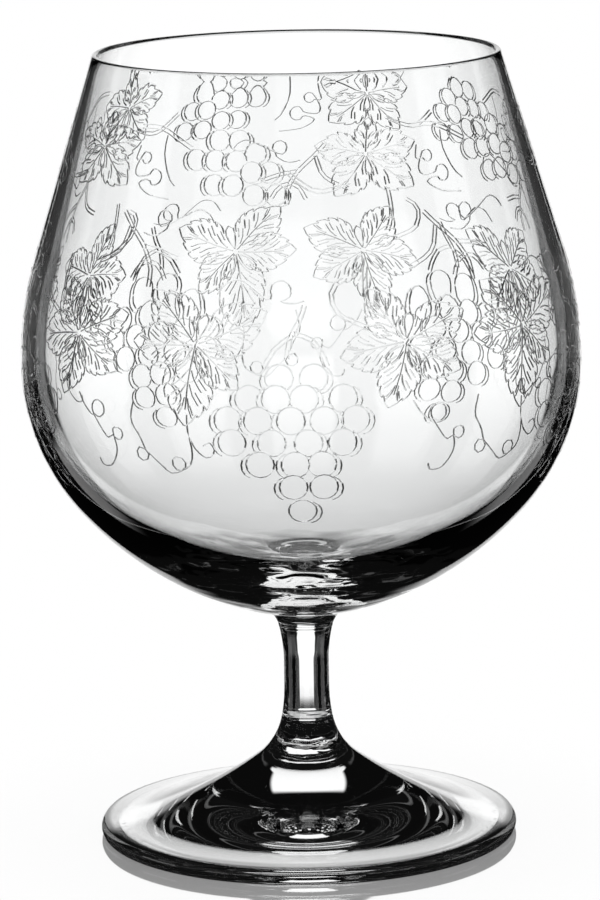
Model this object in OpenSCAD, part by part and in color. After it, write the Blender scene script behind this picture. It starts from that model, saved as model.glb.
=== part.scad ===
// Brandy snifter: a blown bowl, a drawn stem and a pressed foot, all of clear glass.
// The three pieces are turned about the Z axis and meet face to face at two hot seams.
// Lengths are in millimetres, and the table that the glass stands on is z = 0.

/* [Bowl] */
// Height of the bowl, from the upper seam to the top of the rim
bowl_h = 110; // [104:0.5:116]
// Widest outer diameter of the bowl
belly_d = 106; // [103:0.5:110]
// Outer diameter of the bowl at its rim
rim_d = 76.8; // [72:0.2:82]
// Radius of the shoulder arc above the widest ring
shoulder_arc_r = 70; // [60:1:80]
// Radius of the side arc below the widest ring
side_arc_r = 42; // [40:0.5:44]
// Angle that the side arc turns through before the base arc takes over
side_arc_angle = 40.5; // [37:0.5:44]
// Radius of the arc under the bowl
base_arc_r = 65; // [62:0.5:68]
// Radius of the fillet between the bowl's underside and the stem
pad_fillet_r = 4.5; // [3.5:0.25:5.5]

/* [Bowl glass] */
// Thickness of the glass at the rim, which is fire polished to a full round
rim_t = 1.2; // [1:0.1:2]
// Thickness of the glass at the widest ring
belly_t = 2.7; // [2:0.1:3.2]
// Height of the bowl's inside floor above the upper seam
floor_h = 10; // [8.5:0.25:12]
// Angle that the inside side arc turns through before the inside floor arc takes over
inside_arc_angle = 46; // [44:1:60]

/* [Stem] */
// Length of the stem between its two seams
stem_h = 18; // [16:0.5:40]
// Diameter of the stem at its waist
waist_d = 8.7; // [7.5:0.1:9.4]
// Diameter of the seam between the stem and the bowl
upper_seam_d = 10.4; // [10:0.1:11]
// Diameter of the seam between the stem and the foot
lower_seam_d = 9.8; // [9.6:0.1:10.4]
// Radius of the arcs that flare the stem towards its seams
neck_arc_r = 29; // [20:1:32]

/* [Foot] */
// Height of the foot, from the table to the lower seam
foot_h = 22.5; // [20:0.5:26]
// Widest diameter of the foot
foot_d = 80; // [74:0.5:86]
// Radius of the fillet below the stem
foot_fillet_r = 13; // [10:0.5:15]
// Slope of the foot's top where the sweep to its edge takes over from the fillet
foot_sweep_angle = 36; // [33:1:40]
// Height of the foot's widest ring above the table
edge_ring_h = 1.5; // [1.2:0.1:1.6]
// Radius of the bulge around the foot's edge
edge_bulge_r = 1.8; // [1.7:0.1:2.4]
// Radius of the rounding between the foot's edge and its top
edge_round_r = 0.4; // [0.3:0.05:0.8]
// Angle above the widest ring at which the rounding takes over from the bulge
edge_round_angle = 45; // [35:1:50]
// Width of the flat ring that the foot stands on
standing_ring_w = 3; // [2:0.1:6]
// Depth of the hollow under the foot
hollow_h = 3; // [0.6:0.1:4]

/* [Hidden] */

// Largest angle between two points of an arc
arc_step_angle = 3;
glass = [0.86, 0.90, 0.91, 0.45];

// Heights of the seams and of the whole glass
lower_seam_z = foot_h;
upper_seam_z = lower_seam_z + stem_h;
total_h = upper_seam_z + bowl_h;

// Radii
belly_r = belly_d / 2;
waist_r = waist_d / 2;
upper_seam_r = upper_seam_d / 2;
lower_seam_r = lower_seam_d / 2;
foot_r = foot_d / 2;
rim_round_r = rim_t / 2;

// Slopes of the glass where it crosses the seams, measured from the axis
upper_seam_angle = acos(1 - (upper_seam_r - waist_r) / neck_arc_r);
lower_seam_angle = acos(1 - (lower_seam_r - waist_r) / neck_arc_r);

// Outside of the bowl: the base arc follows the side arc, and the fillet touches the base arc,
// which sets how high the widest ring stands above the upper seam
base_arc_x = belly_r - side_arc_r - (base_arc_r - side_arc_r) * cos(side_arc_angle);
base_arc_rise = (base_arc_r - side_arc_r) * sin(side_arc_angle);
pad_fillet_x = upper_seam_r + pad_fillet_r * cos(upper_seam_angle);
pad_fillet_z = upper_seam_z - pad_fillet_r * sin(upper_seam_angle);
pad_fillet_drop = sqrt(pow(base_arc_r + pad_fillet_r, 2) - pow(pad_fillet_x - base_arc_x, 2));
belly_z = pad_fillet_z + pad_fillet_drop - base_arc_rise;
pad_touch_angle = atan2(pad_fillet_drop, base_arc_x - pad_fillet_x);

// The straight wall above the shoulder touches the shoulder arc and the rounded rim
shoulder_x = belly_r - shoulder_arc_r;
rim_x = rim_d / 2 - rim_round_r;
rim_z = total_h - rim_round_r;
rim_reach = norm([rim_x - shoulder_x, rim_z - belly_z]);
rim_bearing = atan2(rim_z - belly_z, rim_x - shoulder_x);
inside_shoulder_r = shoulder_arc_r - belly_t;
wall_angle = rim_bearing - acos((shoulder_arc_r - rim_round_r) / rim_reach);
inside_wall_angle = rim_bearing - acos((inside_shoulder_r + rim_round_r) / rim_reach);

// Inside of the bowl: two arcs from the widest ring down to a level floor on the axis
floor_z = upper_seam_z + floor_h;
inside_belly_r = belly_r - belly_t;
inside_arc_share = (1 - sin(inside_arc_angle)) / cos(inside_arc_angle);
inside_side_r = (belly_z - floor_z - inside_belly_r * inside_arc_share) / (1 - inside_arc_share);
inside_floor_r = inside_side_r + (inside_belly_r - inside_side_r) / cos(inside_arc_angle);

// Foot: a wide sweep runs on from the fillet below the stem and touches the rounding at the edge
foot_fillet_x = lower_seam_r + foot_fillet_r * cos(lower_seam_angle);
foot_fillet_z = lower_seam_z + foot_fillet_r * sin(lower_seam_angle);
sweep_normal = [sin(foot_sweep_angle), cos(foot_sweep_angle)];
bulge_x = foot_r - edge_bulge_r;
round_x = bulge_x + (edge_bulge_r - edge_round_r) * cos(edge_round_angle);
round_z = edge_ring_h + (edge_bulge_r - edge_round_r) * sin(edge_round_angle);
sweep_start = [foot_fillet_x, foot_fillet_z] - foot_fillet_r * sweep_normal;
sweep_chord = sweep_start - [round_x, round_z];
sweep_r = (sweep_chord * sweep_chord - pow(edge_round_r, 2)) / (2 * (edge_round_r - sweep_chord * sweep_normal));
sweep_centre = sweep_start + sweep_r * sweep_normal;
edge_slope_angle = atan2(sweep_centre[0] - round_x, sweep_centre[1] - round_z);

// Underside of the foot: a flat ring around a shallow hollow
edge_low_angle = asin(edge_ring_h / edge_bulge_r);
ring_out_r = bulge_x + edge_bulge_r * cos(edge_low_angle);
ring_in_r = ring_out_r - standing_ring_w;
hollow_arc_r = (pow(ring_in_r, 2) + pow(hollow_h, 2)) / (2 * hollow_h);

// Points of an arc about centre, from one angle to another; skip = 1 leaves out its first point
function arc(centre, radius, from, to, skip = 0) =
    let (steps = ceil(abs(to - from) / arc_step_angle))
    [for (i = [skip : steps])
        let (a = from + (to - from) * i / steps)
        centre + radius * [cos(a), sin(a)]];

// Right half of each piece, as points of radius and height
bowl_outline = concat(
    [[0, upper_seam_z]],
    arc([pad_fillet_x, pad_fillet_z], pad_fillet_r, 180 - upper_seam_angle, pad_touch_angle),
    arc([base_arc_x, belly_z + base_arc_rise], base_arc_r, pad_touch_angle - 180, -side_arc_angle, 1),
    arc([belly_r - side_arc_r, belly_z], side_arc_r, -side_arc_angle, 0, 1),
    arc([shoulder_x, belly_z], shoulder_arc_r, 0, wall_angle, 1),
    arc([rim_x, rim_z], rim_round_r, wall_angle, 180 + inside_wall_angle),
    arc([shoulder_x, belly_z], inside_shoulder_r, inside_wall_angle, 0),
    arc([inside_belly_r - inside_side_r, belly_z], inside_side_r, 0, -inside_arc_angle, 1),
    arc([0, floor_z + inside_floor_r], inside_floor_r, -inside_arc_angle, -90, 1)
);

stem_outline = concat(
    [[0, lower_seam_z]],
    arc([waist_r + neck_arc_r, lower_seam_z + neck_arc_r * sin(lower_seam_angle)],
        neck_arc_r, 180 + lower_seam_angle, 180),
    arc([waist_r + neck_arc_r, upper_seam_z - neck_arc_r * sin(upper_seam_angle)],
        neck_arc_r, 180, 180 - upper_seam_angle),
    [[0, upper_seam_z]]
);

foot_outline = concat(
    [[0, lower_seam_z]],
    arc([foot_fillet_x, foot_fillet_z], foot_fillet_r, 180 + lower_seam_angle, 270 - foot_sweep_angle),
    arc(sweep_centre, sweep_r, 270 - foot_sweep_angle, 270 - edge_slope_angle, 1),
    arc([round_x, round_z], edge_round_r, 90 - edge_slope_angle, edge_round_angle, 1),
    arc([bulge_x, edge_ring_h], edge_bulge_r, edge_round_angle, -edge_low_angle, 1),
    [[ring_in_r, 0]],
    arc([0, hollow_h - hollow_arc_r], hollow_arc_r, acos(ring_in_r / hollow_arc_r), 90, 1)
);

// Blown bowl, with the pad of glass that the stem is drawn onto
module bowl() {
    color(glass)
        rotate_extrude()
            polygon(bowl_outline);
}

// Drawn stem, waisted between its seams
module stem() {
    color(glass)
        rotate_extrude()
            polygon(stem_outline);
}

// Pressed foot, sweeping out to a thick rounded edge over a hollow underside
module foot() {
    color(glass)
        rotate_extrude()
            polygon(foot_outline);
}

bowl();
stem();
foot();
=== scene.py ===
# %% [markdown]
# # A brandy snifter of etched crystal
# The glass is three pieces of clear crystal that were joined hot: a blown bowl, a drawn stem and a
# pressed foot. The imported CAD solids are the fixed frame. Each piece below is turned again with a much
# finer outline, so that light bends through it smoothly, and it stays exactly where its solid is.

# %% The frame
import math

import bmesh
import bpy
import numpy as np
from mathutils import Matrix, Vector, geometry, kdtree


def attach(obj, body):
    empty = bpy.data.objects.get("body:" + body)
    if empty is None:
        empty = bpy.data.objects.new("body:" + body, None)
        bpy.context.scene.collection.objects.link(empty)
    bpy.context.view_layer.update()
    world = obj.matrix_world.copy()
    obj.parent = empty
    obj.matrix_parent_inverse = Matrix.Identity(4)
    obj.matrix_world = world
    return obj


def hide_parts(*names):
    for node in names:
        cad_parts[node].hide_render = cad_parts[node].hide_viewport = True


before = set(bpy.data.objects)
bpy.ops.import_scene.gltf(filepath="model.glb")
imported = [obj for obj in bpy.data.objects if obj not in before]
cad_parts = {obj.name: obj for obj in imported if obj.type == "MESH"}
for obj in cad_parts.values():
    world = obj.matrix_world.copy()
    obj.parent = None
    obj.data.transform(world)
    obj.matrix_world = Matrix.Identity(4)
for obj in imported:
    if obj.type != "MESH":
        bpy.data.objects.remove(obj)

scene = bpy.context.scene
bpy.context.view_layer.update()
MM = 0.001

# %% [markdown]
# ## Camera
# The photograph was taken from just above the rim with a long lens, so upright lines hardly converge. The
# place, the tilt and the focal length were fitted to the outline of the glass. The picture leans by about
# a degree, and the camera is rolled to match, which is simpler than leaning the glass.

# %% Camera
CAMERA_DISTANCE = 872.3 * MM
CAMERA_HEIGHT = 245.0 * MM
LOOK_DOWN = math.radians(11.07)
ROLL = math.radians(-0.96)
FOCAL_LENGTH = 187.0
FILM_WIDTH = 36.0
FRAME_LONG_SIDE = 900
AXIS_OFFSET = 2.8
NEAREST_SEEN = 10 * MM

lens = bpy.data.cameras.new("camera")
lens.lens = FOCAL_LENGTH
lens.sensor_width = FILM_WIDTH
lens.shift_x = -AXIS_OFFSET / FRAME_LONG_SIDE
lens.clip_start = NEAREST_SEEN
camera = bpy.data.objects.new("camera", lens)
scene.collection.objects.link(camera)
place = Matrix.Translation((0, -CAMERA_DISTANCE, CAMERA_HEIGHT))
aim = Matrix.Rotation(math.pi / 2 - LOOK_DOWN, 4, "X")
camera.matrix_world = place @ aim @ Matrix.Rotation(ROLL, 4, "Z")
scene.camera = camera
print("camera at", tuple(round(value, 3) for value in camera.location))

# %% [markdown]
# ## Outlines
# A turned piece is half an outline that is swept once round the axis. The outlines are chains of arcs
# that run into each other without a corner, as on the solids. Points stand about a millimetre apart,
# close enough for smooth refraction. All lengths here are millimetres and become metres when a vertex is
# made.

# %% Arc helper
STEPS_ROUND = 200
FEWEST_STEPS = 3
SAME_POINT = 0.001
MERGE_REACH = 0.002 * MM
SHORTEST_EDGE = 0.0005 * MM


def arc(centre, radius, start, stop, spacing=1.0):
    """Points of radius and height on an arc, with its angles in degrees."""
    sweep = math.radians(stop - start)
    count = max(FEWEST_STEPS, math.ceil(abs(sweep) * radius / spacing))
    angles = [math.radians(start) + sweep * i / count for i in range(count + 1)]
    return [(centre[0] + radius * math.cos(a), centre[1] + radius * math.sin(a)) for a in angles]


def chain(*parts):
    """One outline from several, without the points that repeat where two of them meet."""
    points = []
    for part in parts:
        for point in part:
            if not points or math.dist(point, points[-1]) > SAME_POINT:
                points.append(point)
    return points


def lathe(bm, outline):
    """Sweeps an outline of radius and height round the axis, starting at the front."""
    corners = [bm.verts.new((0, -radius * MM, height * MM)) for radius, height in outline]
    edges = [bm.edges.new(pair) for pair in zip(corners, corners[1:])]
    bmesh.ops.spin(bm, geom=corners + edges, cent=(0, 0, 0), axis=(0, 0, 1), angle=math.tau,
                   steps=STEPS_ROUND, use_merge=True)


def close_seams(bm):
    """Joins the seams and the poles of a turned shape and points its faces outwards."""
    bmesh.ops.remove_doubles(bm, verts=bm.verts, dist=MERGE_REACH)
    bmesh.ops.dissolve_degenerate(bm, edges=bm.edges, dist=SHORTEST_EDGE)
    bmesh.ops.recalc_face_normals(bm, faces=bm.faces)


def finish_piece(bm, name, materials):
    """Turns a bmesh into an object at the origin, and counts its triangles and its loose sides."""
    mesh = bpy.data.meshes.new(name)
    bm.to_mesh(mesh)
    bm.free()
    for material in materials:
        mesh.materials.append(material)
    piece = bpy.data.objects.new(name, mesh)
    scene.collection.objects.link(piece)
    mesh.calc_loop_triangles()
    open_edges = len(mesh.edges) * 2 - len(mesh.loops)
    print(name, len(mesh.loop_triangles), "triangles, loose sides:", open_edges)
    return piece


# %% [markdown]
# ## Node helper
# Shader maths reads best as plain expressions. A wire is an output socket that can be added,
# subtracted, multiplied or divided, and the sheet makes every other node in one call.

# %% Wires and sheets
class Wire:
    """An output socket that takes part in Python expressions."""

    def __init__(self, sheet, socket):
        self.sheet = sheet
        self.socket = socket

    def __add__(self, other):
        return self.sheet.maths("ADD", self, other)

    def __sub__(self, other):
        return self.sheet.maths("SUBTRACT", self, other)

    def __rsub__(self, other):
        return self.sheet.maths("SUBTRACT", other, self)

    def __mul__(self, other):
        return self.sheet.maths("MULTIPLY", self, other)

    def __truediv__(self, other):
        return self.sheet.maths("DIVIDE", self, other)

    __radd__ = __add__
    __rmul__ = __mul__


class Sheet:
    """A node tree, emptied, in which node() makes any node."""

    def __init__(self, tree):
        self.tree = tree
        tree.nodes.clear()

    def node(self, kind, settings=None, inputs=None, output=0):
        """Makes a node from its type, its settings and its sockets' values or wires; gives one output."""
        made = self.tree.nodes.new(kind)
        for name, value in (settings or {}).items():
            setattr(made, name, value)
        for name, value in (inputs or {}).items():
            if isinstance(value, Wire):
                self.tree.links.new(value.socket, made.inputs[name])
            else:
                made.inputs[name].default_value = value
        if made.outputs:
            return Wire(self, made.outputs[output])

    def maths(self, operation, first, second=0.0, third=0.0):
        """A Math node on values and wires."""
        inputs = {0: first, 1: second, 2: third}
        return self.node("ShaderNodeMath", {"operation": operation}, inputs)

    def ramp(self, value, low, high):
        """Rises smoothly from 0 at low to 1 at high, or falls where low is the larger."""
        settings = {"interpolation_type": "SMOOTHSTEP"}
        inputs = {"Value": value, "From Min": min(low, high), "From Max": max(low, high)}
        rising = self.node("ShaderNodeMapRange", settings, inputs)
        return rising if low < high else 1 - rising


def new_material(name):
    """A material and its empty sheet."""
    material = bpy.data.materials.new(name)
    material.use_nodes = True
    return material, Sheet(material.node_tree)


# %% [markdown]
# ## Crystal
# Clear crystal has no colour of its own: it shows what is behind it, bent, and what is around it,
# mirrored. Hot glass never sets perfectly even, so a very low bump follows how each piece was worked:
# soft waves in the blown bowl, long streaks in the drawn stem and faint rings in the pressed foot. Thick
# glass also holds cords, streaks that mixed badly, and a second bump draws them in the bowl's base and in
# the foot's neck. The foot's standing ring is scuffed by tables, so it is a little rough close to the
# ground.

# %% Clear crystal
GLASS_IOR = 1.52
GLASS_TINT = (0.985, 0.99, 0.99, 1)
CORD_STRETCH = (1, 1, 3)
GRIT_SCALE = 900.0
GRIT_RANGE = (0.45, 0.75)
SCUFF_ROUGHNESS = 0.3
UNSCUFFED = 0.0001 * MM
# Cords: the height where they start, the height where they are full, their scale and their relief
NECK_CORDS = (14 * MM, 18 * MM, 300.0, 0.12 * MM)
BASE_CORDS = (55 * MM, 46 * MM, 90.0, 0.8 * MM)


def crystal(name, wave_scale, wave_stretch, wave_height, scuff_height=UNSCUFFED, cords=None):
    """Clear glass with low waves, with scuffs up to a height and with cords where they are given."""
    material, sheet = new_material(name)
    spot = sheet.node("ShaderNodeTexCoord", output="Object")
    stretched = sheet.node("ShaderNodeMapping", None, {"Vector": spot, "Scale": wave_stretch})
    waves = sheet.node("ShaderNodeTexNoise", None, {"Vector": stretched, "Scale": wave_scale, "Detail": 1.0})
    height = sheet.node("ShaderNodeSeparateXYZ", None, {"Vector": spot}, "Z")
    bump = sheet.node("ShaderNodeBump", None, {"Strength": 1.0, "Distance": wave_height, "Height": waves})
    if cords:
        low, high, cord_scale, cord_height = cords
        wound = sheet.node("ShaderNodeMapping", None, {"Vector": spot, "Scale": CORD_STRETCH})
        cord = sheet.node("ShaderNodeTexNoise", None, {"Vector": wound, "Scale": cord_scale, "Detail": 1.0})
        cord = cord * sheet.ramp(height, low, high)
        bump = sheet.node("ShaderNodeBump", None, {
            "Strength": 1.0, "Distance": cord_height, "Height": cord, "Normal": bump})
    grit = sheet.node("ShaderNodeTexNoise", None, {"Vector": spot, "Scale": GRIT_SCALE, "Detail": 4.0})
    scuffs = sheet.ramp(height, scuff_height, 0.0) * sheet.ramp(grit, *GRIT_RANGE)
    glass = sheet.node("ShaderNodeBsdfPrincipled", None, {
        "Base Color": GLASS_TINT, "Roughness": scuffs * SCUFF_ROUGHNESS, "IOR": GLASS_IOR,
        "Transmission Weight": 1.0, "Normal": bump})
    sheet.node("ShaderNodeOutputMaterial", None, {"Surface": glass})
    return material


blown_crystal = crystal("blown_crystal", wave_scale=45.0, wave_stretch=(1, 1, 2.5), wave_height=0.006 * MM,
                        cords=BASE_CORDS)
drawn_crystal = crystal("drawn_crystal", wave_scale=300.0, wave_stretch=(1, 1, 0.06), wave_height=0.004 * MM)
pressed_crystal = crystal("pressed_crystal", wave_scale=60.0, wave_stretch=(1, 1, 4), wave_height=0.006 * MM,
                          scuff_height=0.4 * MM, cords=NECK_CORDS)
print("crystal:", blown_crystal.name, drawn_crystal.name, pressed_crystal.name)

# %% [markdown]
# The needle-etched lines are bitten by acid and stay matt, so light that crosses them is scattered. Where
# two pieces were fused there is no surface left between them: both touching faces let light straight
# through.

# %% Etched lines and fused seams
ETCH_TINT = (0.9, 0.91, 0.91, 1)
ETCH_ROUGHNESS = 0.06
BITE_ROUGHNESS = 0.1
BITE_SCALE = 2500.0
FLAT_COSINE = 0.999
LEVEL_REACH = 0.001 * MM
SEAM_REACH = 0.002 * MM

etched_crystal, sheet = new_material("etched_crystal")
spot = sheet.node("ShaderNodeTexCoord", output="Object")
bite = sheet.node("ShaderNodeTexNoise", None, {"Vector": spot, "Scale": BITE_SCALE, "Detail": 2.0})
frost = sheet.node("ShaderNodeBsdfPrincipled", None, {
    "Base Color": ETCH_TINT, "Roughness": ETCH_ROUGHNESS + bite * BITE_ROUGHNESS, "IOR": GLASS_IOR,
    "Transmission Weight": 1.0})
sheet.node("ShaderNodeOutputMaterial", None, {"Surface": frost})

fused_seam, sheet = new_material("fused_seam")
through = sheet.node("ShaderNodeBsdfTransparent", None, {"Color": (1, 1, 1, 1)})
sheet.node("ShaderNodeOutputMaterial", None, {"Surface": through})
print("finishes:", etched_crystal.name, fused_seam.name)


def mark_seams(bm, *heights):
    """Gives the flat faces at the seams' heights the second material, and shades round faces smooth."""
    for face in bm.faces:
        centre = face.calc_center_median()
        level = all(abs(corner.co.z - centre.z) < LEVEL_REACH for corner in face.verts)
        flat = level and abs(face.normal.z) > FLAT_COSINE
        if flat and any(abs(centre.z - height * MM) < SEAM_REACH for height in heights):
            face.material_index = 1
        face.smooth = not flat


# %% [markdown]
# ## Stem
# The stem is drawn out of the bowl's own pad of glass, so it is thinnest halfway and flares softly to
# both seams. A cylinder with scaled rings could do it, but two arcs and a short straight give the true
# flare.

# %% Stem
LOWER_SEAM_Z = 22.5
UPPER_SEAM_Z = 40.5
WAIST_R = 4.35
UPPER_SEAM_R = 5.2
LOWER_SEAM_R = 4.9
NECK_ARC_R = 29.0
upper_flare = math.degrees(math.acos(1 - (UPPER_SEAM_R - WAIST_R) / NECK_ARC_R))
lower_flare = math.degrees(math.acos(1 - (LOWER_SEAM_R - WAIST_R) / NECK_ARC_R))
flare_x = WAIST_R + NECK_ARC_R
lower_flare_z = LOWER_SEAM_Z + NECK_ARC_R * math.sin(math.radians(lower_flare))
upper_flare_z = UPPER_SEAM_Z - NECK_ARC_R * math.sin(math.radians(upper_flare))

bm = bmesh.new()
lathe(bm, chain(
    [(0, LOWER_SEAM_Z)],
    arc((flare_x, lower_flare_z), NECK_ARC_R, 180 + lower_flare, 180, spacing=0.6),
    arc((flare_x, upper_flare_z), NECK_ARC_R, 180, 180 - upper_flare, spacing=0.6),
    [(0, UPPER_SEAM_Z)]))
close_seams(bm)
mark_seams(bm, LOWER_SEAM_Z, UPPER_SEAM_Z)
stem = finish_piece(bm, "stem_drawn", [drawn_crystal, fused_seam])

# %% [markdown]
# ## Foot
# The foot is pressed and then opened with a paddle: a fillet runs down from the stem into a wide sweep,
# the edge bulges, and a flat ring under it carries the glass round a shallow hollow.

# %% Foot
FOOT_R = 40.0
FILLET_R = 13.0
SWEEP_START = 36.0
RING_H = 1.5
BULGE_R = 1.8
ROUND_R = 0.4
ROUND_ANGLE = 45.0
STANDING_RING_W = 3.0
HOLLOW_H = 3.0
flare = math.radians(lower_flare)
fillet_x = LOWER_SEAM_R + FILLET_R * math.cos(flare)
fillet_z = LOWER_SEAM_Z + FILLET_R * math.sin(flare)
slope = math.radians(SWEEP_START)
across = Vector((math.sin(slope), math.cos(slope)))
bulge_x = FOOT_R - BULGE_R
round_reach = BULGE_R - ROUND_R
round_x = bulge_x + round_reach * math.cos(math.radians(ROUND_ANGLE))
round_z = RING_H + round_reach * math.sin(math.radians(ROUND_ANGLE))
sweep_from = Vector((fillet_x, fillet_z)) - FILLET_R * across
chord = sweep_from - Vector((round_x, round_z))
sweep_r = (chord.dot(chord) - ROUND_R ** 2) / (2 * (ROUND_R - chord.dot(across)))
sweep_centre = sweep_from + sweep_r * across
edge_slope = math.degrees(math.atan2(sweep_centre.x - round_x, sweep_centre.y - round_z))
edge_low = math.asin(RING_H / BULGE_R)
ring_out = bulge_x + BULGE_R * math.cos(edge_low)
ring_in = ring_out - STANDING_RING_W
hollow_r = (ring_in ** 2 + HOLLOW_H ** 2) / (2 * HOLLOW_H)
hollow_edge = math.degrees(math.acos(ring_in / hollow_r))

bm = bmesh.new()
lathe(bm, chain(
    [(0, LOWER_SEAM_Z)],
    arc((fillet_x, fillet_z), FILLET_R, 180 + lower_flare, 270 - SWEEP_START, spacing=0.4),
    arc(sweep_centre, sweep_r, 270 - SWEEP_START, 270 - edge_slope, spacing=0.7),
    arc((round_x, round_z), ROUND_R, 90 - edge_slope, ROUND_ANGLE, spacing=0.08),
    arc((bulge_x, RING_H), BULGE_R, ROUND_ANGLE, -math.degrees(edge_low), spacing=0.2),
    [(ring_in, 0)],
    arc((0, HOLLOW_H - hollow_r), hollow_r, hollow_edge, 90, spacing=1.2)))
close_seams(bm)
mark_seams(bm, LOWER_SEAM_Z)
foot = finish_piece(bm, "foot_pressed", [pressed_crystal, fused_seam])

# %% [markdown]
# ## Bowl wall
# The vines are cut into the bowl's outer wall, so the wall needs a map: how far along the outline (0 at
# the widest ring, upwards positive) gives a radius, a height and the direction that faces out. Above the
# widest ring the outline is a wide shoulder arc and then a straight wall; below it a tighter side arc and
# a wide base arc follow.

# %% Map of the wall
BELLY_R = 53.0
SHOULDER_R = 70.0
SIDE_R = 42.0
SIDE_ANGLE = 40.5
BASE_R = 65.0
PAD_FILLET_R = 4.5
TOTAL_H = 150.5
RIM_R = 38.4
RIM_ROUND = 0.6
BELLY_T = 2.7
FLOOR_Z = 50.5
INSIDE_ANGLE = 46.0

side = math.radians(SIDE_ANGLE)
base_x = BELLY_R - SIDE_R - (BASE_R - SIDE_R) * math.cos(side)
base_rise = (BASE_R - SIDE_R) * math.sin(side)
pad_x = UPPER_SEAM_R + PAD_FILLET_R * math.cos(math.radians(upper_flare))
pad_z = UPPER_SEAM_Z - PAD_FILLET_R * math.sin(math.radians(upper_flare))
pad_drop = math.sqrt((BASE_R + PAD_FILLET_R) ** 2 - (pad_x - base_x) ** 2)
BELLY_Z = pad_z + pad_drop - base_rise
pad_touch = math.degrees(math.atan2(pad_drop, base_x - pad_x))
shoulder_x = BELLY_R - SHOULDER_R
rim_x = RIM_R - RIM_ROUND
rim_z = TOTAL_H - RIM_ROUND
reach = math.hypot(rim_x - shoulder_x, rim_z - BELLY_Z)
bearing = math.atan2(rim_z - BELLY_Z, rim_x - shoulder_x)
inside_shoulder_r = SHOULDER_R - BELLY_T
wall_lean = bearing - math.acos((SHOULDER_R - RIM_ROUND) / reach)
inside_lean = bearing - math.acos((inside_shoulder_r + RIM_ROUND) / reach)
shoulder_length = SHOULDER_R * wall_lean


def wall(along):
    """Radius, height and the outward direction of the wall, for an array of places along it."""
    along = np.asarray(along, float)
    turn = np.clip(along, 0, shoulder_length) / SHOULDER_R
    drop = np.clip(-along, 0, None) / SIDE_R
    straight = np.clip(along - shoulder_length, 0, None)
    upper = along >= 0
    radius = np.where(upper, shoulder_x + SHOULDER_R * np.cos(turn) - straight * math.sin(wall_lean),
                      BELLY_R - SIDE_R + SIDE_R * np.cos(drop))
    height = np.where(upper, BELLY_Z + SHOULDER_R * np.sin(turn) + straight * math.cos(wall_lean),
                      BELLY_Z - SIDE_R * np.sin(drop))
    tilt = np.where(upper, turn, -drop)
    return radius, height, np.cos(tilt), np.sin(tilt)


print("widest ring at", round(BELLY_Z, 2), "mm, wall leans", round(math.degrees(wall_lean), 2), "degrees")

# %% [markdown]
# ## Vine drawing
# Five equal repeats of the vine go round the bowl. A stroke is a list of places: degrees round the bowl
# from the front, and millimetres along the wall. Round and leafy forms are drawn flat, in millimetres
# about a centre, and then laid on the wall, where a millimetre is more degrees the narrower the bowl is.
# Where the whole wall is laid out flat, one radius stands for all of it.

# %% Stroke helpers
REPEATS = 5
REPEAT = 360.0 / REPEATS
FLAT_R = 48.0
to_flat = math.radians(1) * FLAT_R
strokes = []


def lay(centre, points, turn=0.0):
    """Lays a flat drawing on the wall, turned about its centre; points are across and up."""
    points = np.asarray(points, float)
    angle = math.radians(turn)
    across = points[:, 0] * math.cos(angle) - points[:, 1] * math.sin(angle)
    up = points[:, 0] * math.sin(angle) + points[:, 1] * math.cos(angle)
    along = centre[1] + up
    return np.column_stack([centre[0] + np.degrees(across / wall(along)[0]), along])


def resample(points, spacing):
    """Evenly spaced places on a line of points."""
    points = np.asarray(points, float)
    steps = np.linalg.norm(np.diff(points, axis=0), axis=1)
    length = np.concatenate([[0], np.cumsum(steps)])
    count = max(2, int(round(length[-1] / spacing)))
    places = np.linspace(0, length[-1], count + 1)
    return np.column_stack([np.interp(places, length, points[:, i]) for i in range(2)])


def curve(knots, per_span=10):
    """A smooth line through its knots, which leaves each in the direction between its neighbours."""
    knots = np.asarray(knots, float)
    padded = np.vstack([2 * knots[0] - knots[1], knots, 2 * knots[-1] - knots[-2]])
    share = np.linspace(0, 1, per_span, endpoint=False)[:, None]
    spans = []
    for a, b, c, d in zip(padded, padded[1:], padded[2:], padded[3:]):
        spans.append(0.5 * (2 * b + (c - a) * share + (2 * a - 5 * b + 4 * c - d) * share ** 2
                            + (3 * b - a - 3 * c + d) * share ** 3))
    return np.vstack(spans + [knots[-1:]])


# %% [markdown]
# ### Grapes
# A cluster is rows of overlapping rings, each with a crescent of shade on its outer side. Lower grapes
# hang in front, so a ring is cut where a grape in front of it lies.

# %% Grape clusters
RING_POINTS = 73
SHORTEST_RUN = 4
SHADE_SHIFT = (0.34, -0.12)
SHADE_SIZE = 1.02
SHADE_SWEEP = (-78, 66)
SHADE_GAP = 1.08


def keep_outside(line, discs):
    """The runs of a line that stay outside every disc of centre and radius."""
    free = np.ones(len(line), bool)
    for centre, radius in discs:
        free &= np.linalg.norm(line - centre, axis=1) > radius
    runs = [[]]
    for point, is_free in zip(line, free):
        if is_free:
            runs[-1].append(point)
        elif runs[-1]:
            runs.append([])
    return [np.array(run) for run in runs if len(run) > SHORTEST_RUN]


def ring(centre, radius, start=0.0, stop=360.0):
    """Points on a circle, or on its part between two angles in degrees."""
    angles = np.radians(np.linspace(start, stop, RING_POINTS))
    return np.column_stack([centre[0] + radius * np.cos(angles), centre[1] + radius * np.sin(angles)])


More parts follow.
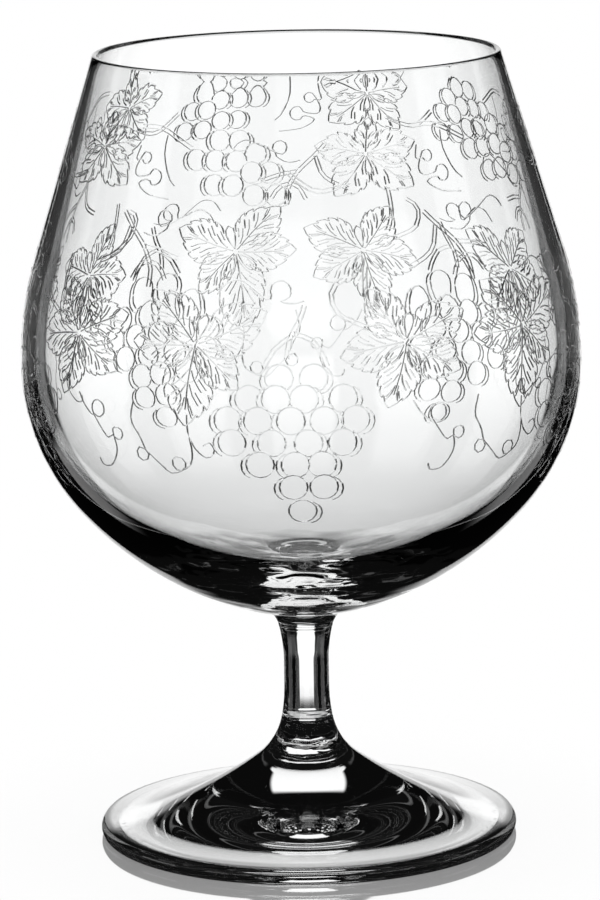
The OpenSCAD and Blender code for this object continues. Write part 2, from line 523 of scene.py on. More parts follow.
def cluster(place, rows, radius, crowding):
    """Strokes of a cluster. Its rows, from the lowest, give a height and their grapes' places across."""
    front = []
    drawn = []
    for height, across in rows:
        for x in across:
            centre = np.array([x, height]) * radius * crowding
            outer = 0.0 if x > 0 else 180.0
            shift = radius * np.array([math.cos(math.radians(outer)) * SHADE_SHIFT[0], SHADE_SHIFT[1]])
            start, stop = (outer + angle for angle in SHADE_SWEEP)
            shade = ring(centre + shift, radius * SHADE_SIZE, start, stop)
            lines = keep_outside(ring(centre, radius), front)
            lines += keep_outside(shade, front + [(centre, radius * SHADE_GAP)])
            front.append((centre, radius))
            drawn += [lay(place, line) for line in lines]
    return drawn


GRAPE_ROWS = (
    (-4.4, (0.25,)),
    (-3.2, (-0.1, 1.15)),
    (-2.15, (0.0, 1.1, -1.45)),
    (-1.2, (-0.95, 0.55, 1.95, -2.6)),
    (-0.25, (-1.5, -0.15, 1.2, 2.5, -2.75)),
    (0.65, (-0.75, 0.4, 2.0, -1.85)),
    (1.5, (-0.6, 0.8)),
)
strokes += cluster((-1.5, -1.0), GRAPE_ROWS, radius=2.55, crowding=1.72)
SMALL_ROWS = (
    (-1.35, (0.87, 1.97)),
    (-0.9, (-0.19, -1.13)),
    (-0.23, (0.7, 1.57)),
    (0.3, (-0.08, -1.13, -2.13)),
    (0.68, (0.86,)),
    (1.3, (0.03, -0.97)),
)
strokes += cluster((-14.5, 43.5), SMALL_ROWS, radius=1.95, crowding=1.9)
print("after the grapes:", len(strokes), "strokes")

# %% [markdown]
# ### Leaves
# A vine leaf has five broad lobes about its stalk. Each lobe is drawn as an etcher would: an outline of
# teeth that lean towards the tip, one midrib, and slanting veins with a short stroke between them.
# Drop-shaped eyes sit where two lobes part. A lobe is given by its bearing, in degrees from upright and
# to the left, by its length in millimetres and by the share of it that its tip bends aside.

# %% Half a lobe
# Shares of a lobe's length or width, apart from the powers that shape it and the vein's start in millimetres
LOBE_WIDTH = 0.32
LOBE_LEAN = 1.05
LOBE_FULLNESS = 0.9
FIRST_NOTCH = 0.27
FIRST_TIP = 0.44
NOTCH_IN = 0.86
NOTCH_BACK = 0.03
TIP_OUT = 1.08
TIP_LEAN = 0.02
TOOTH_SWELL = 0.035
VEIN_ROOTS = (0.14, 0.66)
VEIN_START = 0.3
VEIN_WIDTH_AT = 0.2
VEIN_OUT = 0.62
VEIN_BEND = (0.42, 0.12)
VEIN_RISE = 0.24
BETWEEN_WIDTH_AT = 0.22
BETWEEN_OUT = (0.5, 0.8)
BETWEEN_RISE = (0.08, 0.2)


def half_width(share, length):
    """Half of a lobe's width at a share of its length."""
    return LOBE_WIDTH * length * float(np.sin(math.pi * np.clip(share, 0, 1) ** LOBE_LEAN) ** LOBE_FULLNESS)


def flank(length, teeth):
    """Strokes of a lobe's right half, as places across, in millimetres, and shares of the length."""
    low = FIRST_NOTCH
    drawn = []
    for tip in np.linspace(FIRST_TIP, 1.0, teeth + 1):
        inner = NOTCH_IN * half_width(low, length)
        outer = TIP_OUT * half_width(tip, length)
        middle = ((inner + outer) / 2 + TOOTH_SWELL * length, (low + tip) / 2)
        tooth = list(curve([(inner, low), middle, (outer, tip + TIP_LEAN)], per_span=5))
        low = tip - NOTCH_BACK
        if tip < 1:
            tooth.append((NOTCH_IN * half_width(low, length), low))
        drawn.append(tooth)
    for root in np.linspace(*VEIN_ROOTS, teeth):
        vein = VEIN_OUT * half_width(root + VEIN_WIDTH_AT, length)
        bend = (VEIN_BEND[0] * vein, root + VEIN_BEND[1])
        drawn.append(curve([(VEIN_START, root), bend, (vein, root + VEIN_RISE)], per_span=4))
        between = BETWEEN_OUT[1] * half_width(root + BETWEEN_WIDTH_AT, length)
        inner_end = (BETWEEN_OUT[0] * between, root + BETWEEN_RISE[0])
        drawn.append([inner_end, (between, root + BETWEEN_RISE[1])])
    return drawn


print("half width of a lobe at its middle:", round(half_width(0.5, 1.0), 2), "of its length")

# %% Leaves
MIDRIB_SHARES = (0.04, 0.3, 0.55, 0.82)
EYE_POINTS = 41
EYE_WIDTH = 0.2
EYE_POINT = 1.2
EYE_MIDDLE = 0.52
EYE_HALF = 0.4


def lobe(length, bend, teeth):
    """Strokes of one lobe that points straight up from the stalk's end and bends to one side."""
    right = flank(length, teeth)
    left = [[(-across, share) for across, share in stroke] for stroke in right]
    midrib = [(0, share) for share in MIDRIB_SHARES]
    lines = []
    for stroke in right + left + [midrib]:
        bent = [(across + bend * length * share ** 2, share * length) for across, share in stroke]
        lines.append(np.array(bent))
    return lines


def eye(length):
    """A drop between two lobes, with its point towards the stalk."""
    turn = np.linspace(0, math.tau, EYE_POINTS)
    width = EYE_WIDTH * length * np.sin(turn) * np.sin(turn / 2) ** EYE_POINT
    return np.column_stack([width, length * (EYE_MIDDLE - EYE_HALF * np.cos(turn))])


def leaf(place, lobes, eyes, eye_length, teeth):
    """Strokes of a leaf from its lobes and from the bearings of its eyes."""
    lines = []
    for pointing, length, bend in lobes:
        lines += [lay(place, line, pointing) for line in lobe(length, bend, teeth)]
    lines += [lay(place, eye(eye_length), pointing) for pointing in eyes]
    return lines


LEFT_LOBES = ((37, 12.8, -0.12), (96, 12.5, 0.1), (167, 14.7, -0.08), (-128, 11.0, 0.1), (-71, 13.9, -0.12))
RIGHT_LOBES = ((39, 11.6, 0.1), (94, 12.3, -0.1), (168, 12.0, 0.12), (-124, 12.0, -0.1), (-63, 12.8, 0.1))
UPPER_LOBES = ((-6, 6.6, 0.08), (73, 9.1, -0.1), (145, 9.6, 0.1), (-132, 10.6, -0.1), (-74, 9.8, 0.1))
strokes += leaf((-21.2, 11.3), LEFT_LOBES, (-17, 132, -161), eye_length=6.4, teeth=4)
strokes += leaf((21.2, 11.2), RIGHT_LOBES, (-12, 131, -158), eye_length=5.8, teeth=4)
strokes += leaf((16.5, 45.5), UPPER_LOBES, (109, -174, -103), eye_length=4.2, teeth=3)
print("after the leaves:", len(strokes), "strokes")

# %% [markdown]
# ### Branches and tendrils
# A branch is two lines side by side. A tendril is one line that winds into loops. Both are smooth curves
# through a few knots, in degrees and millimetres on the wall.

# %% Branches and tendrils
BRANCH_GAP = 0.7
LOOP_KNOTS = 7


def branch(*knots):
    """Two lines side by side along the knots."""
    line = curve(knots)
    scale = np.array([to_flat, 1.0])
    tangent = np.gradient(line * scale, axis=0)
    tangent /= np.linalg.norm(tangent, axis=1)[:, None]
    offset = np.column_stack([-tangent[:, 1], tangent[:, 0]]) * BRANCH_GAP / 2 / scale
    return [line + offset, line - offset]


def tendril(*knots):
    """One line through the knots."""
    return [curve(knots)]


def loop(place, radius, start, stop):
    """Knots round a loop, which a tendril lists between its other knots."""
    angles = np.linspace(start, stop, LOOP_KNOTS)
    flat = [(radius * math.cos(math.radians(a)), radius * math.sin(math.radians(a))) for a in angles]
    return [tuple(point) for point in lay(place, flat)]


# Upper band
strokes += branch((-42.5, 50.0), (-38.0, 50.2), (-34.0, 49.5), (-26.5, 46.6))
strokes += branch((-2.6, 42.6), (0.5, 40.6), (3.5, 39.2), (7.0, 39.2), (12.0, 40.6))
strokes += tendril((30.2, 46.6), (29.4, 44.0), *loop((32.6, 44.4), 1.1, 200, 520), (29.8, 42.4),
                   (30.6, 41.0), *loop((36.0, 41.0), 1.5, 170, -160), (31.5, 39.6), (35.0, 37.8),
                   (40.8, 37.2))
strokes += tendril((-34.0, 48.8), (-34.2, 45.5), (-32.2, 41.4), (-30.0, 39.6))
# Twig between two leaves, with its tendril
strokes += branch((29.0, 34.4), (31.8, 31.9), (36.0, 28.5), (38.0, 25.8))
strokes += branch((31.6, 31.8), (30.2, 28.0), (27.5, 26.0), (23.7, 24.6))
strokes += branch((38.0, 25.8), (35.8, 24.8), (34.2, 22.2))
strokes += branch((38.0, 25.8), (38.8, 24.0), (38.8, 21.0))
strokes += branch((38.0, 25.8), (40.8, 25.0), (42.6, 22.6))
strokes += branch((36.4, 28.4), (40.5, 27.8), (45.0, 26.6))
strokes += tendril((35.4, 30.8), (38.5, 30.4), (41.2, 31.6), *loop((40.6, 33.7), 1.5, -60, 260),
                   (45.4, 34.2), (49.0, 35.6), (51.8, 34.8), (53.0, 33.2))
# Tendrils hanging under the leaves
strokes += tendril((22.1, 0.6), (23.6, -1.6), (25.8, -3.4), *loop((27.6, -2.0), 1.6, 220, 560),
                   (27.6, -5.0), (29.6, -7.2), *loop((32.4, -6.2), 1.2, 200, 520), (31.6, -9.4),
                   (29.4, -12.6), (26.6, -12.9), (26.0, -11.6))
strokes += tendril((37.0, 0.4), (36.2, -3.2), (38.0, -6.2), *loop((38.2, -9.6), 1.3, 60, -280),
                   (42.0, -11.2), (44.2, -12.9), *loop((46.4, -10.9), 1.4, -70, 270),
                   (49.0, -10.9), (49.6, -8.0), (49.0, -4.4), (49.0, -1.4))
strokes += tendril((49.2, -5.6), (50.6, -8.0), (52.8, -9.4), (54.4, -8.0), (53.4, -6.4), (52.0, -7.2))
# Stalk of the big cluster and the tendril over it
strokes += branch((0.8, 18.6), (-0.4, 15.6), (-2.4, 12.2), (-2.8, 9.0))
strokes += branch((-1.6, 13.6), (2.0, 12.4), (4.2, 9.6), (5.0, 7.6))
strokes += branch((-1.9, 13.0), (-5.0, 11.0), (-7.4, 7.6))
strokes += tendril((-17.2, 20.4), (-15.2, 22.6), (-12.3, 23.1), (-9.6, 21.6), (-6.7, 19.6),
                   *loop((-4.0, 21.2), 1.9, 210, -90), (-1.4, 18.9), (0.8, 19.4))
strokes += branch((13.8, 25.2), (13.5, 22.6), (13.6, 19.0), (15.0, 15.6))
strokes += branch((9.2, 23.0), (6.4, 21.2), (7.6, 17.0), (13.0, 14.4))
print("whole vine:", len(strokes), "strokes in one repeat")

# %% [markdown]
# ## Engraving
# The lines are real grooves. One repeat of the wall is laid out flat, every stroke adds its middle line
# and its two banks, and a triangulation that keeps these lines joins everything into one mesh without
# gaps. Points on a middle line then sink into the glass. Strokes that cross into the next repeat are cut
# there, so the left and right border of the flat sheet match and five copies close the ring.

# %% Cutting strokes at the repeat's borders
BAND_LOW = -26.0
BAND_TOP = 54.0
FIRST_BORDER = -REPEAT / 2
SHORTEST_LINE = 0.5


def line_length(line):
    """Length of a line of points."""
    return np.linalg.norm(np.diff(line, axis=0), axis=1).sum()


def cut_at_borders(stroke):
    """Parts of a stroke, each moved into the first repeat."""
    turns = (stroke[:, 0] - FIRST_BORDER) / REPEAT
    parts = []
    part = [stroke[0]]
    for a, b, turn_a, turn_b in zip(stroke, stroke[1:], turns, turns[1:]):
        here, there = math.floor(turn_a), math.floor(turn_b)
        if here != there:
            border = max(here, there)
            cross = a + (b - a) * (border - turn_a) / (turn_b - turn_a)
            cross[0] = FIRST_BORDER + border * REPEAT
            parts.append((here, part + [cross]))
            part = [cross]
        part.append(b)
    parts.append((math.floor(turns[-1]), part))
    moved = [np.array(points) - (REPEAT * number, 0) for number, points in parts if len(points) > 1]
    return [(points - (FIRST_BORDER, 0)) * (to_flat, 1) for points in moved]


SHEET_WIDTH = REPEAT * to_flat
lines = []
for stroke in strokes:
    lines += [part for part in cut_at_borders(stroke) if line_length(part) > SHORTEST_LINE]
total = sum(line_length(line) for line in lines)
lowest = min(line[:, 1].min() for line in lines)
highest = max(line[:, 1].max() for line in lines)
print(len(lines), "lines,", round(total), "mm in all")
print("from", round(lowest, 1), "to", round(highest, 1), "mm along the wall")

# %% [markdown]
# A groove needs three lines: its middle, which sinks, and a bank on each side, which stays. Points stand
# closer where a stroke bends. An open groove runs out to nothing at its ends, and a closed one goes
# round.

# %% Middle lines and banks
LINE_HALF = 0.16
LINE_DEPTH = 0.08
END_RUN = 0.16
STEP_RANGE = (0.5, 1.8)
STEP_TURN = 0.4
LEAST_BEND = 0.2
CLOSED_GAP = 0.01
BANK_CLEARANCE = 0.03
ON_BORDER = 1e-6
SAMPLE_STEP = 0.05
points = []
links = []
samples = []
border_heights = set()


def add_chain(chain_points, closed=False):
    """Adds points and the links between neighbours."""
    first = len(points)
    points.extend(map(tuple, chain_points))
    links.extend((first + i, first + i + 1) for i in range(len(chain_points) - 1))
    if closed:
        links.append((len(points) - 1, first))


def sharpen(line):
    """Adds a place close to each end, where the groove already has its full depth."""
    first = line[0] + (line[1] - line[0]) * END_RUN / np.linalg.norm(line[1] - line[0])
    last = line[-1] + (line[-2] - line[-1]) * END_RUN / np.linalg.norm(line[-2] - line[-1])
    return np.vstack([line[:1], [first], line[1:-1], [last], line[-1:]])


for line in lines:
    headings = np.unwrap(np.arctan2(*np.diff(line, axis=0).T[::-1]))
    bend = np.abs(np.diff(headings)).sum()
    step = STEP_TURN * line_length(line) / max(bend, LEAST_BEND)
    middle = resample(line, min(STEP_RANGE[1], max(STEP_RANGE[0], step)))
    closed = np.linalg.norm(middle[0] - middle[-1]) < CLOSED_GAP
    if not closed:
        middle = sharpen(middle)
    tangent = np.gradient(middle, axis=0)
    tangent /= np.linalg.norm(tangent, axis=1)[:, None]
    side_step = np.column_stack([-tangent[:, 1], tangent[:, 0]]) * LINE_HALF
    left, right = middle + side_step, middle - side_step
    for bank in (left, right):
        bank[:, 0] = np.clip(bank[:, 0], BANK_CLEARANCE, SHEET_WIDTH - BANK_CLEARANCE)
    if closed:
        for chain_points in (middle, left, right):
            add_chain(chain_points[:-1], True)
    else:
        add_chain(middle)
        add_chain(np.vstack([middle[:1], left[1:-1], middle[-1:], right[-2:0:-1]]), True)
        for end in (middle[0], middle[-1]):
            if min(end[0], SHEET_WIDTH - end[0]) < ON_BORDER:
                border_heights.add(round(float(end[1]), 6))
    dense = resample(middle, SAMPLE_STEP)
    run = np.arange(len(dense)) * SAMPLE_STEP
    share = np.ones(len(dense)) if closed else np.clip(np.minimum(run, run[::-1]) / END_RUN, 0, 1)
    samples.append(np.column_stack([dense, share]))
samples = np.vstack(samples)
print(len(points), "points on strokes,", len(samples), "samples")

# %% [markdown]
# The clear glass between the strokes needs points too, or the triangles would cut across the wall's
# curve. They stand on a staggered grid and keep clear of the strokes.

# %% Triangulating one repeat
GRID = 2.3
ROW_SHARE = 0.866
GRID_START = 1.2
GRID_END = 1.0
STROKE_CLEARANCE = 0.6
BORDER_POINTS = 41
BORDER_CLEARANCE = 0.4
KEEP_INSIDE = 1
WELD = 1e-5

nearest = kdtree.KDTree(len(samples))
for i, sample in enumerate(samples):
    nearest.insert((sample[0], sample[1], 0), i)
nearest.balance()

for row, up in enumerate(np.arange(BAND_LOW + GRID_START, BAND_TOP - GRID_END, GRID * ROW_SHARE)):
    for across in np.arange(GRID_START + GRID / 2 * (row % 2), SHEET_WIDTH - GRID_END, GRID):
        if nearest.find((across, up, 0))[2] > STROKE_CLEARANCE:
            points.append((across, up))

columns = np.linspace(0, SHEET_WIDTH, STEPS_ROUND // REPEATS + 1)
heights = set(border_heights)
for even in np.linspace(BAND_LOW, BAND_TOP, BORDER_POINTS):
    if all(abs(even - taken) > BORDER_CLEARANCE for taken in border_heights):
        heights.add(float(even))
heights = sorted(heights)
outline = [(x, BAND_LOW) for x in columns] + [(SHEET_WIDTH, h) for h in heights[1:-1]]
outline += [(x, BAND_TOP) for x in columns[::-1]] + [(0.0, h) for h in heights[-2:0:-1]]
first = len(points)
points += outline
flat_points = [Vector(point) for point in points]
flat, _, triangles, *_ = geometry.delaunay_2d_cdt(
    flat_points, links, [list(range(first, len(points)))], KEEP_INSIDE, WELD, False)
flat = np.array([tuple(point) for point in flat])
print(len(flat), "points and", len(triangles), "triangles in one repeat")

# %% [markdown]
# Points close to a stroke's middle sink into the glass along the direction that faces out, and less near
# the ends. The triangles that touch a sunk point are the etched ones.

# %% Sinking the grooves
MIDDLE_SHARE = 0.45
ETCHED_SHARE = 0.1

depth = np.zeros(len(flat))
for i, (x, y) in enumerate(flat):
    _, found, distance = nearest.find((x, y, 0))
    if distance < MIDDLE_SHARE * LINE_HALF:
        depth[i] = LINE_DEPTH * (1 - distance / LINE_HALF) * samples[found][2]
radius, height, out_r, out_z = wall(flat[:, 1])
angle = np.radians(FIRST_BORDER) + flat[:, 0] / FLAT_R
sunk_r = radius - depth * out_r
sunk_z = height - depth * out_z
etched = [max(depth[i] for i in corners) > ETCHED_SHARE * LINE_DEPTH for corners in triangles]
print(sum(etched), "of the triangles are etched")

# %% [markdown]
# ## Bowl
# The part under the band and the part over it, with the rim and the whole inside, are turned as the other
# pieces are. The etched band goes between them, and its border points stand exactly on the turned rings,
# so one merge welds the three into a closed bowl.

# %% Inside of the bowl
UPPER_WALL_POINTS = 6
INSIDE_WALL_POINTS = 16

low_r, low_z = (float(value) for value in wall(BAND_LOW)[:2])
top_r, top_z = (float(value) for value in wall(BAND_TOP)[:2])
inside = math.radians(INSIDE_ANGLE)
inside_belly = BELLY_R - BELLY_T
inside_share = (1 - math.sin(inside)) / math.cos(inside)
inside_side_r = (BELLY_Z - FLOOR_Z - inside_belly * inside_share) / (1 - inside_share)
inside_floor_r = inside_side_r + (inside_belly - inside_side_r) / math.cos(inside)
rim_touch = (rim_x + RIM_ROUND * math.cos(wall_lean), rim_z + RIM_ROUND * math.sin(wall_lean))
upper_wall = np.linspace((top_r, top_z), rim_touch, UPPER_WALL_POINTS)
inside_touch = (rim_x - RIM_ROUND * math.cos(inside_lean), rim_z - RIM_ROUND * math.sin(inside_lean))
inside_wall_end = (shoulder_x + inside_shoulder_r * math.cos(inside_lean),
                   BELLY_Z + inside_shoulder_r * math.sin(inside_lean))
inside_wall = np.linspace(inside_touch, inside_wall_end, INSIDE_WALL_POINTS)
lean = math.degrees(inside_lean)
print("inside arcs of", round(inside_side_r, 2), "and", round(inside_floor_r, 2), "mm")

# %% Bowl
bm = bmesh.new()
lathe(bm, chain(
    [(0, UPPER_SEAM_Z)],
    arc((pad_x, pad_z), PAD_FILLET_R, 180 - upper_flare, pad_touch, spacing=0.3),
    arc((base_x, BELLY_Z + base_rise), BASE_R, pad_touch - 180, -SIDE_ANGLE),
    arc((BELLY_R - SIDE_R, BELLY_Z), SIDE_R, -SIDE_ANGLE, math.degrees(BAND_LOW / SIDE_R))[:-1],
    [(low_r, low_z)]))
lathe(bm, chain(
    [tuple(point) for point in upper_wall],
    arc((rim_x, rim_z), RIM_ROUND, math.degrees(wall_lean), 180 + lean, spacing=0.09),
    [tuple(point) for point in inside_wall],
    arc((shoulder_x, BELLY_Z), inside_shoulder_r, lean, 0, spacing=2.4),
    arc((inside_belly - inside_side_r, BELLY_Z), inside_side_r, 0, -INSIDE_ANGLE, spacing=2.0),
    arc((0, FLOOR_Z + inside_floor_r), inside_floor_r, -INSIDE_ANGLE, -90, spacing=2.0)))
turned_faces = len(bm.faces)

groove = bm.faces.layers.int.new("groove")
for copy in range(REPEATS):
    turn = angle + math.radians(REPEAT) * copy
    corners = [bm.verts.new((r * MM * math.sin(a), -r * MM * math.cos(a), z * MM))
               for r, z, a in zip(sunk_r, sunk_z, turn)]
    for triangle, is_etched in zip(triangles, etched):
        face = bm.faces.new([corners[i] for i in triangle])
        face[groove] = int(is_etched)
close_seams(bm)
mark_seams(bm, UPPER_SEAM_Z)
for face in bm.faces:
    if face[groove]:
        face.material_index = 2
        face.smooth = False
print("turned faces:", turned_faces, "all faces:", len(bm.faces))
bowl = finish_piece(bm, "bowl_etched", [blown_crystal, fused_seam, etched_crystal])

# %% [markdown]
# The band's triangles are uneven, so averaged corner directions would make the clear glass look dented
# next to the grooves. The map of the wall knows the true direction everywhere, and the clear corners of
# the band take it.

# %% True directions on the wall
BAND_REACH = 0.01
WALL_REACH = 0.05
ON_AXIS = 1e-6


def values_of(rows, name, kind, width=1):
    """One property of all rows of a mesh, as an array."""
    values = np.empty(len(rows) * width, kind)
    rows.foreach_get(name, values)
    return values


mesh = bowl.data
corner_of = values_of(mesh.loops, "vertex_index", int)
where = values_of(mesh.vertices, "co", float, 3).reshape(-1, 3) / MM
material_of = values_of(mesh.polygons, "material_index", int)
loop_material = np.repeat(material_of, values_of(mesh.polygons, "loop_total", int))
place_of = where[corner_of]
out = np.hypot(place_of[:, 0], place_of[:, 1])
rise = place_of[:, 2] - BELLY_Z
tilt = np.where(rise > 0, np.minimum(np.arcsin(np.clip(rise / SHOULDER_R, -1, 1)), wall_lean),
                np.arcsin(np.clip(rise / SIDE_R, -1, 1)))
upwards = np.argsort(height)
band_r = np.interp(place_of[:, 2], height[upwards], radius[upwards])
on_band = (loop_material == 0) & (np.abs(out - band_r) < WALL_REACH)
on_band &= (place_of[:, 2] > low_z - BAND_REACH) & (place_of[:, 2] < top_z + BAND_REACH)
level = np.cos(tilt)[:, None] * place_of[:, :2] / np.maximum(out, ON_AXIS)[:, None]
facing = np.column_stack([level, np.sin(tilt)])
facing[~on_band] = 0
mesh.normals_split_custom_set([tuple(direction) for direction in facing])
print("true directions on", int(on_band.sum()), "of", len(corner_of), "corners")

# %% [markdown]
# ## Studio
# Clear glass is lit from behind: a bright panel stands behind it and dark space beside the panel draws
# its edges. To work from every side, eight tall panels stand in a ring, with dark gaps. The two beside
# the main panel stay low and are narrower, or they would lighten the edges of the stem and the base. The
# main panel is a little wider low down, with a dim skirt beside it. Lamps could do all this, but a world
# made of angles has no panel to hide.

# %% Panels
PANELS = 8
PANEL_HALF = math.radians(13)
PANEL_SOFT = math.radians(0.8)
LOW_EXTRA = math.radians(2)
BESIDE_LESS = math.radians(8)
GAP_LIGHT = 0.003
SKIRT_LIGHT = 0.07
SHADE_LEAST = 0.85
SHADE_GAIN = 0.3
# Degrees above the horizon between which each part comes or goes
PANEL_TOP = (20.5, 17)
PANEL_BOTTOM = (-48, -38)
LOW_TOP = (1, -3)
LOW_BOTTOM = (-13, -9)
BESIDE_CUT = (-24, -20)
OTHER_CUT = (4, 7)
SHADE_RISE = (-26, -7)
# Degrees to the side of the main panel's middle between which each part comes or goes
OTHER_START = (20, 24)
BESIDE_END = (70, 66)
SKIRT_START = (17, 20)
SKIRT_END = (40, 34)

world = bpy.data.worlds.new("studio")
scene.world = world
world.use_nodes = True
sheet = Sheet(world.node_tree)


def fade(angle, ends):
    """A ramp between two angles in degrees."""
    return sheet.ramp(angle, math.radians(ends[0]), math.radians(ends[1]))


direction = sheet.node("ShaderNodeTexCoord", output="Generated")
along_x = sheet.node("ShaderNodeSeparateXYZ", None, {"Vector": direction}, "X")
along_y = sheet.node("ShaderNodeSeparateXYZ", None, {"Vector": direction}, "Y")
along_z = sheet.node("ShaderNodeSeparateXYZ", None, {"Vector": direction}, "Z")
azimuth = sheet.maths("ARCTAN2", along_x, along_y)
elevation = sheet.maths("ARCSINE", along_z)
spread = math.pi / PANELS
off_panel = sheet.maths("ABSOLUTE", sheet.maths("WRAP", azimuth, spread, -spread))
from_main = sheet.maths("ABSOLUTE", azimuth)
low_part = fade(elevation, LOW_TOP) * fade(elevation, LOW_BOTTOM)
other = fade(from_main, OTHER_START)
beside = other * fade(from_main, BESIDE_END)
off_edge = off_panel - LOW_EXTRA * low_part + BESIDE_LESS * beside
panel = sheet.ramp(off_edge, PANEL_HALF + PANEL_SOFT, PANEL_HALF - PANEL_SOFT)
panel = panel * (1 - beside * fade(elevation, BESIDE_CUT)) * (1 - other * fade(elevation, OTHER_CUT))
panel = panel * fade(elevation, PANEL_TOP) * fade(elevation, PANEL_BOTTOM)
shade = SHADE_LEAST + SHADE_GAIN * fade(elevation, SHADE_RISE)
skirt = fade(from_main, SKIRT_START) * fade(from_main, SKIRT_END) * low_part
studio = sheet.maths("MAXIMUM", GAP_LIGHT + panel * shade, skirt * SKIRT_LIGHT)
print("studio of", PANELS, "panels")

# %% [markdown]
# Which of this a ray sees depends on its way. A ray straight from the camera sees plain white, and so
# does one that the polished floor mirrored upwards. A ray that passed through the glass, or was mirrored
# in it, sees the studio. All other rays, which light the floor, see an even white.

# %% World
PANEL_LIGHT = 1.2
AMBIENT = 0.95
FLOOR_BOUNCE = 2.0
HALF_BOUNCE = 0.5
HORIZON = (0, 1)

is_camera = sheet.node("ShaderNodeLightPath", output="Is Camera Ray")
is_glossy = sheet.node("ShaderNodeLightPath", output="Is Glossy Ray")
is_transmitted = sheet.node("ShaderNodeLightPath", output="Is Transmission Ray")
is_sharp = sheet.node("ShaderNodeLightPath", output="Is Singular Ray")
ray_depth = sheet.node("ShaderNodeLightPath", output="Ray Depth")
in_glass = sheet.maths("MAXIMUM", is_glossy, is_transmitted)
first_bounce = sheet.maths("COMPARE", ray_depth, FLOOR_BOUNCE, HALF_BOUNCE)
on_floor = is_glossy * (1 - is_sharp) * first_bounce * fade(elevation, HORIZON)
unlit = sheet.maths("MAXIMUM", is_camera, on_floor)
light = unlit + (1 - unlit) * (in_glass * studio + (1 - in_glass) * AMBIENT)
dark = sheet.node("ShaderNodeBackground", None, {"Color": (0, 0, 0, 1), "Strength": 1.0})
bright = sheet.node("ShaderNodeBackground", None, {"Color": (1, 1, 1, 1), "Strength": PANEL_LIGHT})
mixed = sheet.node("ShaderNodeMixShader", None, {0: light / PANEL_LIGHT, 1: dark, 2: bright})
sheet.node("ShaderNodeOutputWorld", None, {"Surface": mixed})
print("world:", len(world.node_tree.nodes), "nodes")

# %% [markdown]
# A soft box hangs overhead. It gives the floor a soft shadow, and the glass neither mirrors it nor shows
# it.

# %% Soft box
SOFT_BOX_HEIGHT = 0.9
SOFT_BOX_WIDTH = 0.7
SOFT_BOX_DEPTH = 0.35
SOFT_BOX_POWER = 2.0

lamp = bpy.data.lights.new("soft_box", "AREA")
lamp.shape = "RECTANGLE"
lamp.size = SOFT_BOX_WIDTH
lamp.size_y = SOFT_BOX_DEPTH
lamp.energy = SOFT_BOX_POWER
soft_box = bpy.data.objects.new("soft_box", lamp)
soft_box.location = (0, 0, SOFT_BOX_HEIGHT)
soft_box.visible_glossy = False
soft_box.visible_transmission = False
scene.collection.objects.link(soft_box)
print("soft box at", SOFT_BOX_HEIGHT, "m")

# %% [markdown]
# ## Floor
# The glass stands on a white polished sheet that mirrors its edge. Close to the foot the sheet keeps the
# shadow, and further out it runs into the white background. The foot gathers light on the sheet below it.
# A path tracer finds such light only after very many samples, so the sheet glows by itself, a painted glow,
# for rays that come through the glass: where they strike it at a low angle, and else only in an outer ring,
# if the glass didn't mirror them inside. All other rays through the glass see a dark sheet, painted shade
# that stands in for the foot's shadow, which gives the base its dark edges.

# %% Painted light and shade under the foot
GLOW_PLACE = (0, 3.5 * MM, 0)
GLOW_EDGE = (39 * MM, 37.5 * MM)
GLOW_LIGHT = 0.93
STEEP_EDGE = (25 * MM, 32 * MM)
STEEP_SHARE = 0.75
LOW_VIEW = (0.66, 0.78)
SHADE_LIGHT = 0.005
HALF_MIRRORED = 0.5

floor_white, sheet = new_material("floor_white")
spot = sheet.node("ShaderNodeTexCoord", output="Object")
is_camera = sheet.node("ShaderNodeLightPath", output="Is Camera Ray")
is_glossy = sheet.node("ShaderNodeLightPath", output="Is Glossy Ray")
is_transmitted = sheet.node("ShaderNodeLightPath", output="Is Transmission Ray")
times_mirrored = sheet.node("ShaderNodeLightPath", output="Glossy Depth")
away = sheet.node("ShaderNodeVectorMath", {"operation": "LENGTH"}, {0: spot}, "Value")
from_glow = sheet.node("ShaderNodeVectorMath", {"operation": "DISTANCE"}, {0: spot, 1: GLOW_PLACE}, "Value")
grazing = sheet.node("ShaderNodeLayerWeight", None, {"Blend": 0.5}, "Facing")
straight = sheet.maths("LESS_THAN", times_mirrored, HALF_MIRRORED)
steep_view = STEEP_SHARE * straight * sheet.ramp(away, *STEEP_EDGE)
seen = sheet.maths("MAXIMUM", sheet.ramp(grazing, *LOW_VIEW), steep_view)
glow = is_transmitted * sheet.ramp(from_glow, *GLOW_EDGE) * seen
# Painted shade: rays through the glass see a near-black sheet, as if the foot's shadow lay on it, with the
# painted glow added on top.
dark = sheet.node("ShaderNodeEmission", None, {"Color": (0, 0, 0, 1), "Strength": 1.0})
white = sheet.node("ShaderNodeEmission", None, {"Color": (1, 1, 1, 1), "Strength": 1.0})
painted_brightness = SHADE_LIGHT + GLOW_LIGHT * glow
painted_glow_and_shade = sheet.node("ShaderNodeMixShader", None, {0: painted_brightness, 1: dark, 2: white})
print("glow under the foot, to a radius of", GLOW_EDGE[0], "m")

# %% [markdown]
# The open sheet is matt white with a polish that mirrors more the lower it is looked at. Where the glow
# is seen straight through the glass, it takes the place of the mirror.

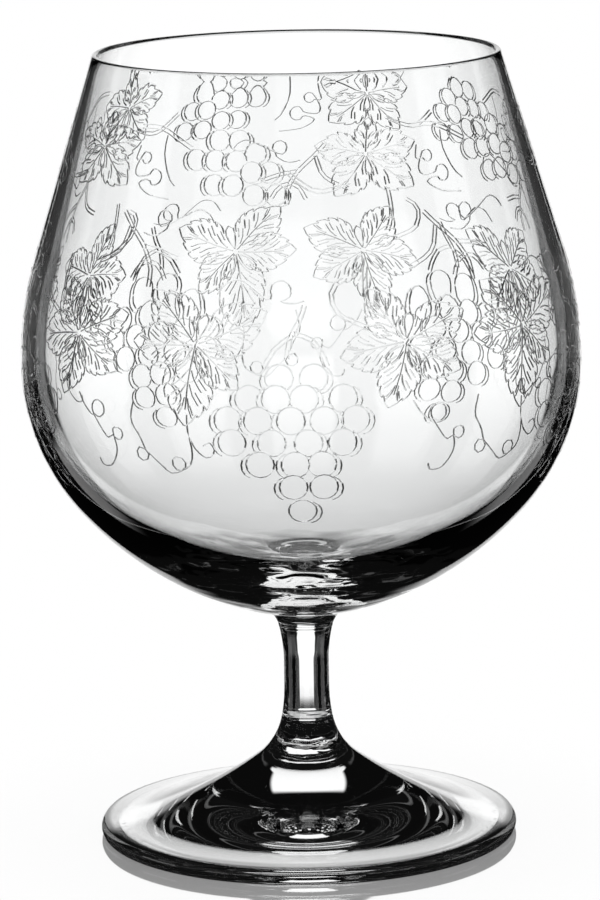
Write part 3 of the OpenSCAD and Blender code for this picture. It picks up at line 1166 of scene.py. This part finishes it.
# %% Floor
FLOOR_R = 0.12
FLOOR_SEGMENTS = 96
FLOOR_TINT = (0.9, 0.9, 0.9, 1)
OPEN_WHITE = 0.7
MIRROR = 0.85
MIRROR_VIEW = (0.5, 0.8)
POLISH_ROUGHNESS = 0.05
FADE_OUT = (50 * MM, 95 * MM)

matt = sheet.node("ShaderNodeBsdfDiffuse", None, {"Color": FLOOR_TINT})
polish = sheet.node("ShaderNodeBsdfGlossy", None, {"Color": (1, 1, 1, 1), "Roughness": POLISH_ROUGHNESS})
clear = sheet.node("ShaderNodeBsdfTransparent", None, {"Color": (1, 1, 1, 1)})
in_glass = sheet.maths("MAXIMUM", is_glossy, is_transmitted)
mirrored = MIRROR * sheet.ramp(grazing, *MIRROR_VIEW) * (1 - straight * glow)
open_sheet = sheet.node("ShaderNodeMixShader", None, {0: is_camera * OPEN_WHITE, 1: matt, 2: white})
lit = sheet.node("ShaderNodeMixShader", None, {0: in_glass, 1: open_sheet, 2: painted_glow_and_shade})
mirror = sheet.node("ShaderNodeMixShader", None, {0: mirrored, 1: lit, 2: polish})
faded = sheet.node("ShaderNodeMixShader", None, {0: sheet.ramp(away, *FADE_OUT), 1: mirror, 2: clear})
sheet.node("ShaderNodeOutputMaterial", None, {"Surface": faded})

bm = bmesh.new()
bmesh.ops.create_circle(bm, cap_ends=True, segments=FLOOR_SEGMENTS, radius=FLOOR_R)
floor = finish_piece(bm, "floor", [floor_white])

# %% [markdown]
# ## Hand-over
# Each piece rides on the one body of the glass and replaces its solid.
# Light has to cross many surfaces on its way through a glass, so rays may bounce more often than usual.

# %% Hand-over
BOUNCES = 24
MIRROR_BOUNCES = 12

for piece, node in ((bowl, "bowl"), (stem, "stem"), (foot, "foot")):
    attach(piece, "root")
    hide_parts(node)

scene.view_settings.view_transform = "Standard"
scene.cycles.max_bounces = BOUNCES
scene.cycles.transmission_bounces = BOUNCES
scene.cycles.transparent_max_bounces = BOUNCES
scene.cycles.glossy_bounces = MIRROR_BOUNCES
